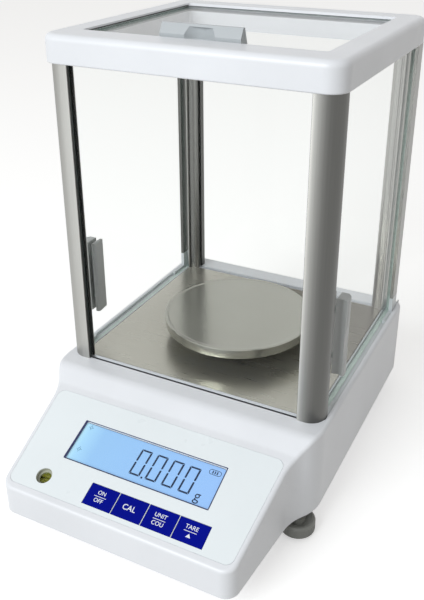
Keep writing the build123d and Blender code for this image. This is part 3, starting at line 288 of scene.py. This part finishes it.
# Painted light and shade on the posts and guide strips: each one's bands of lighter and darker tone across x
# stand for how the light falls on it.
POST_RIGHT = satin_painted_shade("post_right", 0.0940, 0.1130,
                        (0.62, 0.38, 0.27, 0.20, 0.155, 0.13, 0.125, 0.13, 0.14))
POST_LEFT = satin_painted_shade("post_left", -0.1130, -0.0940, (0.20, 0.34, 0.43, 0.48))
REAR_RIGHT = satin_painted_shade("post_rear_right", 0.0925, 0.1042, (0.48, 0.38, 0.34, 0.42))
REAR_LEFT = satin_painted_shade("post_rear_left", -0.1042, -0.0925, (0.60, 0.15, 0.16, 0.18, 0.15, 0.30, 0.10))
GUIDE = satin_painted_shade("guide_strip", -0.1130, 0.1130, (0.12, 0.30, 0.30))
RAIL = plastic("rail_grey", (0.62, 0.66, 0.68), 0.35)
FLOOR_STEEL = floor_metal("floor_steel")
PAN_STEEL = brushed("pan_steel", (0.36, 0.36, 0.32), 0.20, stretch=(0.05, 1, 1), depth=0.000003,
                    vary=0.03, metallic=0.85)
SCREW = brushed("zinc_screw", (0.6, 0.6, 0.62), 0.3)
CAST = brushed("cast_metal", (0.42, 0.42, 0.43), 0.5, scale=500, depth=0.00003, vary=0.12)
MILLED = brushed("milled_aluminium", (0.62, 0.62, 0.64), 0.3, stretch=(1, 0.05, 1))
BRASS = brushed("insert_brass", (0.70, 0.50, 0.22), 0.3)
SEAL = plastic("seal_rubber", (0.022, 0.023, 0.022), 0.6, vary=0.2)
HANDLE = plastic("handle_grey", (0.46, 0.475, 0.475), 0.40, vary=0.05)
TOP_HANDLE = plastic("top_handle_grey", (0.44, 0.47, 0.49), 0.40, vary=0.03)
WHEEL = plastic("wheel_dark", (0.20, 0.205, 0.19), 0.45, vary=0.12)
RUBBER = plastic("foot_rubber", (0.02, 0.02, 0.02), 0.7, grain=0.00005, vary=0.2)
LEVEL_CUP = plastic("level_cup", (0.42, 0.43, 0.36), 0.4)
LEVEL_LENS = clear_cover("level_lens", (0.95, 0.97, 0.88))
LEVEL_FLUID = plastic("level_fluid", (0.28, 0.27, 0.03), 0.15, vary=0.1)
BUBBLE = plastic("level_bubble", (0.60, 0.62, 0.25), 0.12, vary=0.05)
RIBBON = plastic("ribbon_grey", (0.35, 0.35, 0.37), 0.5)
BATTERY = plastic("battery_case", (0.03, 0.03, 0.035), 0.5, vary=0.1)

FINISH = {
    HOUSING: ["upper_housing", "top_frame"],
    FILM: ["console_faceplate"],
    WINDOW: ["display_window"],
    LCD: ["lcd_panel"],
    PRINT_WHITE: ["display_backlight"],
    BOARD: ["display_board", "main_board"],
    KEY_BLUE: ["power_key", "calibrate_key", "unit_key", "tare_key"],
    DARK: ["key_switches", "power_socket"],
    SCREW: ["serial_port", "display_board_screws", "load_cell_screws", "board_standoffs", "housing_screws",
            "column_tie_rods", "overload_stop", "left_foot_stem", "right_foot_stem"],
    CAST: ["base_plate", "load_cell_base"],
    MILLED: ["load_cell", "pan_carrier"],
    POST_RIGHT: ["front_right_column"],
    POST_LEFT: ["front_left_column"],
    REAR_RIGHT: ["rear_right_column"],
    REAR_LEFT: ["rear_left_column"],
    GUIDE: ["rear_guide_strips"],
    RAIL: ["right_door_rail", "left_door_rail"],
    PAN_STEEL: ["weighing_pan", "pan_hub"],
    FLOOR_STEEL: ["chamber_floor_plate"],
    SEAL: ["front_glass_seals"],
    HANDLE: ["right_handle_outer", "left_handle_outer", "right_handle_inner", "left_handle_inner"],
    TOP_HANDLE: ["top_door_handle"],
    WHEEL: ["left_foot_wheel", "right_foot_wheel"],
    RUBBER: ["left_foot_pad", "right_foot_pad", "rear_feet"],
    BRASS: ["foot_thread_inserts"],
    LEVEL_CUP: ["level_cup"],
    LEVEL_LENS: ["level_lens"],
    LEVEL_FLUID: ["level_fluid"],
    BUBBLE: ["level_bubble"],
    RIBBON: ["display_ribbon_cable"],
    BATTERY: ["battery_pack"],
    # The panes are one glass: their edge greens differ in brightness only as painted light and shade.
    pane_glass("glass_fixed", "Y", (0.10, 0.13, 0.12)): ["front_glass", "rear_glass"],
    pane_glass("glass_side", "X", (0.58, 0.70, 0.65)): ["right_door_glass", "left_door_glass"],
    pane_glass("glass_top", "Z", (0.30, 0.40, 0.36)): ["top_door_glass"],
}


def dress_nodes():
    for mat, names in FINISH.items():
        for name in names:
            obj = NODES[name]
            obj.data.materials.clear()
            obj.data.materials.append(mat)


# Printed and moulded details

def on_slope(x, s, out=0.0):
    """A point of the console's face: x across, s up the slope, out along its normal."""
    y = s * math.cos(SLOPE) - out * math.sin(SLOPE)
    z = LIP_Z + s * math.sin(SLOPE) + out * math.cos(SLOPE)
    return Vector((x, y - DEPTH / 2, z + FOOT_HEIGHT))


def slope_matrix(x, s, out=0.0):
    return Matrix.Translation(on_slope(x, s, out)) @ Matrix.Rotation(SLOPE, 4, "X")


def finish_piece(obj, mat, body, slot):
    obj.data.materials.clear()
    obj.data.materials.append(mat)
    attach(obj, body)
    return obj


def flat_shapes(name, outlines, thick, place):
    """Thin raised shapes from flat outlines, put in place by a matrix."""
    bm = bmesh.new()
    for outline in outlines:
        low = [bm.verts.new(place @ Vector((x, y, 0))) for x, y in outline]
        high = [bm.verts.new(place @ Vector((x, y, thick))) for x, y in outline]
        bm.faces.new(high)
        bm.faces.new(list(reversed(low)))
        for i in range(len(outline)):
            j = (i + 1) % len(outline)
            bm.faces.new((low[i], low[j], high[j], high[i]))
    bmesh.ops.recalc_face_normals(bm, faces=bm.faces)
    mesh = bpy.data.meshes.new(name)
    bm.to_mesh(mesh)
    bm.free()
    obj = bpy.data.objects.new(name, mesh)
    bpy.context.scene.collection.objects.link(obj)
    return obj


def words(name, text, size, place, mat, body, slot, thick=KEY_PRINT, bold=0.00003):
    """Lettering as a thin raised print, centred on its place."""
    curve = bpy.data.curves.new(name, "FONT")
    curve.body = text
    curve.size = size
    curve.extrude = thick / 2
    curve.offset = bold
    curve.align_x = "CENTER"
    curve.align_y = "CENTER"
    temp = bpy.data.objects.new(name + "_text", curve)
    bpy.context.scene.collection.objects.link(temp)
    bpy.context.view_layer.update()
    mesh = bpy.data.meshes.new_from_object(temp.evaluated_get(bpy.context.evaluated_depsgraph_get()))
    bpy.data.objects.remove(temp)
    mesh.transform(place)
    obj = bpy.data.objects.new(name, mesh)
    bpy.context.scene.collection.objects.link(obj)
    return finish_piece(obj, mat, body, slot)


def bar(x0, y0, x1, y1):
    return [(x0, y0), (x1, y0), (x1, y1), (x0, y1)]


def arc_plates(cx, cy, r, w, a0, a1, n=16):
    """A curved line as short plates."""
    plates = []
    for i in range(n):
        p, q = a0 + (a1 - a0) * i / n, a0 + (a1 - a0) * (i + 1) / n
        corners = ((r, p), (r, q), (r - w, q), (r - w, p))
        plates.append([(cx + radius * math.cos(a), cy + radius * math.sin(a)) for radius, a in corners])
    return plates


def key_labels():
    labels = [
        ("power_key", "power_button", "ON", "OFF"),
        ("calibrate_key", "calibrate_button", "CAL", None),
        ("unit_key", "unit_button", "UNIT", "COU"),
        ("tare_key", "tare_button", "TARE", "mark"),
    ]
    shift = 0.0008
    row = 0.0030
    size, single_size = 0.0043, 0.0058
    rule_outline = bar(-0.0050, -0.0002, 0.0050, 0.0002)
    arrow_outline = [(-0.0019, -0.0043), (0.0019, -0.0043), (0, -0.0015)]
    for i, (node, body, top, low) in enumerate(labels):
        look = (PRINT_WHITE, body, "key_blue")
        x = KEY_LEFT + KEY_PITCH * (i + 0.5) - shift
        s = KEY_START + KEY_LENGTH / 2
        middle = slope_matrix(x, s, PRINT_LIFT)
        if low is None:
            words(node + "_label", top, single_size, middle, *look, bold=0.00006)
            continue
        words(node + "_label_top", top, size, slope_matrix(x, s + row, PRINT_LIFT), *look)
        rule = flat_shapes(node + "_label_rule", [rule_outline], KEY_PRINT, middle)
        finish_piece(rule, *look)
        if low == "mark":
            arrow = flat_shapes(node + "_label_mark", [arrow_outline], KEY_PRINT, middle)
            finish_piece(arrow, *look)
        else:
            words(node + "_label_low", low, size, slope_matrix(x, s - row, PRINT_LIFT), *look)


def slope_height(name, highest=True):
    """How far a node's top or bottom lies from the slope, along the slope's normal."""
    heights = []
    for vertex in NODES[name].data.vertices:
        y = vertex.co.y + DEPTH / 2
        z = vertex.co.z - FOOT_HEIGHT - LIP_Z
        heights.append(z * math.cos(SLOPE) - y * math.sin(SLOPE))
    return max(heights) if highest else min(heights)


def frame_shapes(x0, s0, x1, s1, left, right, low, top):
    """Four bars that make a rectangular frame, each side with its own width."""
    return [bar(x0, s0, x0 + left, s1), bar(x1 - right, s0, x1, s1),
            bar(x0 + left, s0, x1 - right, s0 + low), bar(x0 + left, s1 - top, x1 - right, s1)]


def display_frame():
    """The printed line round the display and the dark walls down to its panel."""
    wide_line, line = 0.0015, 0.0006
    border = frame_shapes(-WINDOW_HALF, WINDOW_START, WINDOW_HALF, WINDOW_END, wide_line, line, line, line)
    piece = flat_shapes("display_border", border, FINE_PRINT, slope_matrix(0, 0, PRINT_LIFT))
    finish_piece(piece, BORDER, "base", "overlay_film")
    ledge = WINDOW_LEDGE
    wall = 0.00012
    clear = 0.00002
    top = slope_height("display_window", highest=False) - clear
    low = slope_height("lcd_panel") + clear
    walls = frame_shapes(-WINDOW_HALF + ledge, WINDOW_START + ledge, WINDOW_HALF - ledge, WINDOW_END - ledge,
                         wall, wall, wall, wall)
    liner = flat_shapes("display_liner", walls, top - low, slope_matrix(0, 0, low))
    finish_piece(liner, LINER, "base", "housing_plastic")


def segment_digit(x, s, wide, tall, w):
    """The six lit segments of a nought, leaning a little to the right."""
    gap = 0.00028
    lean = 0.04
    level = w * 0.9
    point = w * 0.6
    mid = s + tall / 2
    end = s + tall
    right = x + wide
    bars = [
        [(x + gap, s), (right - gap, s), (right - w, s + level), (x + w, s + level)],
        [(x + w, end - level), (right - w, end - level), (right - gap, end), (x + gap, end)],
    ]
    for x0, inner in ((x, w), (right, -w)):
        bars.append([(x0, s + gap * 1.5), (x0 + inner, s + w), (x0 + inner, mid - point),
                     (x0 + inner / 2, mid - gap), (x0, mid - point)])
        bars.append([(x0, mid + point), (x0 + inner / 2, mid + gap), (x0 + inner, mid + point),
                     (x0 + inner, end - w), (x0, end - gap * 1.5)])
    return [[(px + (py - s) * lean, py) for px, py in shape] for shape in bars]


def battery_mark(x, s):
    """A capsule, drawn as a line, with three bars in it."""
    half_wide, half_tall, line = 0.0050, 0.0021, 0.0004
    flank = half_wide - half_tall
    shapes = frame_shapes(x - flank, s - half_tall, x + flank, s + half_tall, 0.0, 0.0, line, line)[2:]
    for side in (-1, 1):
        start = -side * math.pi / 2
        shapes += arc_plates(x + side * flank, s, half_tall, line, start, start + math.pi)
    first, pitch, wide, half_bar = -0.0023, 0.0018, 0.0009, 0.0012
    for i in range(3):
        left = x + first + pitch * i
        shapes.append(bar(left, s - half_bar, left + wide, s + half_bar))
    return shapes


def lamp_mark(x, s):
    """A small ring with four rays."""
    radius, line, ray = 0.0012, 0.00035, 0.0019
    shapes = arc_plates(x, s, radius, line, 0, 2 * math.pi)
    for k in range(4):
        a = math.pi / 2 * k
        cx, cs = x + ray * math.cos(a), s + ray * math.sin(a)
        shapes.append(bar(cx - 0.0003, cs - 0.0002, cx + 0.0003, cs + 0.0002))
    return shapes


def display_marks():
    """Digits and symbols just above the panel; they are seen a little shifted by its depth."""
    out = slope_height("lcd_panel") + PRINT_LIFT
    x0 = 0.54 * out
    s0 = -0.465 * out
    place = slope_matrix(x0, s0, out)

    digit_x, digit_s, digit_pitch = -0.0070, 0.0416, 0.01377
    digit_wide, digit_tall, stroke = 0.0093, 0.0214, 0.00150
    digits = []
    for i in range(4):
        digits += segment_digit(digit_x + digit_pitch * i, digit_s, digit_wide, digit_tall, stroke)
    decimal_point = bar(0.0036, 0.0410, 0.0051, 0.0425)
    digits.append(decimal_point)
    finish_piece(flat_shapes("display_digits", digits, FINE_PRINT, place), INK, "base", "lcd_glass")

    unit = slope_matrix(x0 + 0.0505, s0 + 0.0431, out)
    words("display_unit", "g", 0.0112, unit, INK, "base", "lcd_glass", thick=FINE_PRINT, bold=0.00002)

    cell = battery_mark(0.0550, 0.0638)
    finish_piece(flat_shapes("display_battery_mark", cell, FINE_PRINT, place), INK, "base", "lcd_glass")

    marks = lamp_mark(-0.0548, 0.0658) + lamp_mark(-0.0543, 0.0463)
    lamps = flat_shapes("display_lamp_marks", marks, FINE_PRINT, place)
    finish_piece(lamps, FAINT_INK, "base", "lcd_glass")


def span(name, axis):
    """Lowest and highest place of a node along an axis."""
    places = [vertex.co[axis] for vertex in NODES[name].data.vertices]
    return min(places), max(places)


def groove_shade_strips():
    """Dark strips on the top frame, just above the sliding pane's long edges: painted shade of the grooves
    the pane slides in.
    """
    glass_left, glass_right = span("top_door_glass", 0)
    glass_front, glass_back = span("top_door_glass", 1)
    above = span("top_door_glass", 2)[1] + 0.0004
    grip = 0.0034
    thick, tall = 0.0003, 0.0008
    front_end, back_end = 0.004, 0.020
    strips = [bar(edge - thick / 2, glass_front + front_end, edge + thick / 2, glass_back - back_end)
              for edge in (glass_left + grip, glass_right - grip)]
    shade_strips = flat_shapes("top_groove_shade_strips", strips, tall, Matrix.Translation((0, 0, above)))
    finish_piece(shade_strips, SEAL, "base", "seal_rubber")


def dress_stage():
    """Plain pale floor, one soft lamp and a white world."""
    floor_mesh = bpy.data.meshes.new("floor")
    size = 6.0
    corners = [(x, y, 0) for x, y in bar(-size, -size, size, size)]
    floor_mesh.from_pydata(corners, [], [(0, 1, 2, 3)])
    floor = bpy.data.objects.new("floor", floor_mesh)
    bpy.context.scene.collection.objects.link(floor)
    mat, nt, p = tree("floor_white")
    p.inputs["Base Color"].default_value = (0.8, 0.8, 0.8, 1)
    p.inputs["Roughness"].default_value = 0.9
    p.inputs["Specular IOR Level"].default_value = 0.0
    glow = nt.nodes.new("ShaderNodeEmission")
    glow.inputs["Strength"].default_value = 0.48
    both = nt.nodes.new("ShaderNodeAddShader")
    link(nt, p.outputs["BSDF"], both.inputs[0])
    link(nt, glow.outputs["Emission"], both.inputs[1])
    dim = nt.nodes.new("ShaderNodeBsdfDiffuse")
    dim.inputs["Color"].default_value = (0.50, 0.49, 0.47, 1)
    pick = mix_shaders(nt, seen_straight(nt), dim.outputs["BSDF"], both.outputs["Shader"])
    link(nt, pick, nt.nodes["Material Output"].inputs["Surface"])
    floor_mesh.materials.append(mat)

    world = bpy.data.worlds.new("world")
    bpy.context.scene.world = world
    world.use_nodes = True
    nt = world.node_tree
    back = nt.nodes["Background"]
    white = nt.nodes.new("ShaderNodeBackground")
    white.inputs["Color"].default_value = (1, 1, 1, 1)
    back.inputs["Color"].default_value = (1.0, 0.985, 0.955, 1)
    back.inputs["Strength"].default_value = 0.46
    pick = mix_shaders(nt, seen_straight(nt), back.outputs["Background"], white.outputs["Background"])
    link(nt, pick, nt.nodes["World Output"].inputs["Surface"])

    lamp("key_lamp", place=(-0.50, -1.95, 1.25), size=1.4, power=35, colour=(0.95, 0.98, 1.0))


def seen_straight(nt):
    """1 for rays from the camera, a mirror or through glass, so that they meet white."""
    path = nt.nodes.new("ShaderNodeLightPath")
    seen = compute(nt, "MAXIMUM", path.outputs["Is Camera Ray"], path.outputs["Is Glossy Ray"])
    return compute(nt, "MAXIMUM", seen, path.outputs["Is Transmission Ray"])


def lamp(name, place, size, power, colour):
    data = bpy.data.lights.new(name, "AREA")
    data.shape = "DISK"
    data.size = size
    data.energy = power
    data.color = colour
    obj = bpy.data.objects.new(name, data)
    obj.location = place
    aim = Vector((0, 0, 0.15)) - Vector(place)
    obj.rotation_euler = aim.to_track_quat("-Z", "Y").to_euler()
    bpy.context.scene.collection.objects.link(obj)


def camera():
    """The photograph's view, fitted to its corners and edges; the sensor spans the longer side."""
    focal_px = 780.321
    centre_px = (218.967, 245.822)
    tilt_down, turn = 0.429, 0.467
    data = bpy.data.cameras.new("camera")
    data.sensor_width = 36.0
    data.lens = focal_px * data.sensor_width / IMAGE_HEIGHT
    data.shift_x = (IMAGE_WIDTH / 2 - centre_px[0]) / IMAGE_HEIGHT
    data.shift_y = (centre_px[1] - IMAGE_HEIGHT / 2) / IMAGE_HEIGHT
    data.clip_start = 0.01
    obj = bpy.data.objects.new("camera", data)
    obj.location = (0.25696, -0.50464, 0.45078)
    obj.rotation_euler = (math.pi / 2 - tilt_down, 0, turn)
    bpy.context.scene.collection.objects.link(obj)
    bpy.context.scene.camera = obj


camera()
dress_stage()
dress_nodes()
key_labels()
display_frame()
display_marks()
groove_shade_strips()

scene = bpy.context.scene
scene.view_settings.view_transform = "Standard"
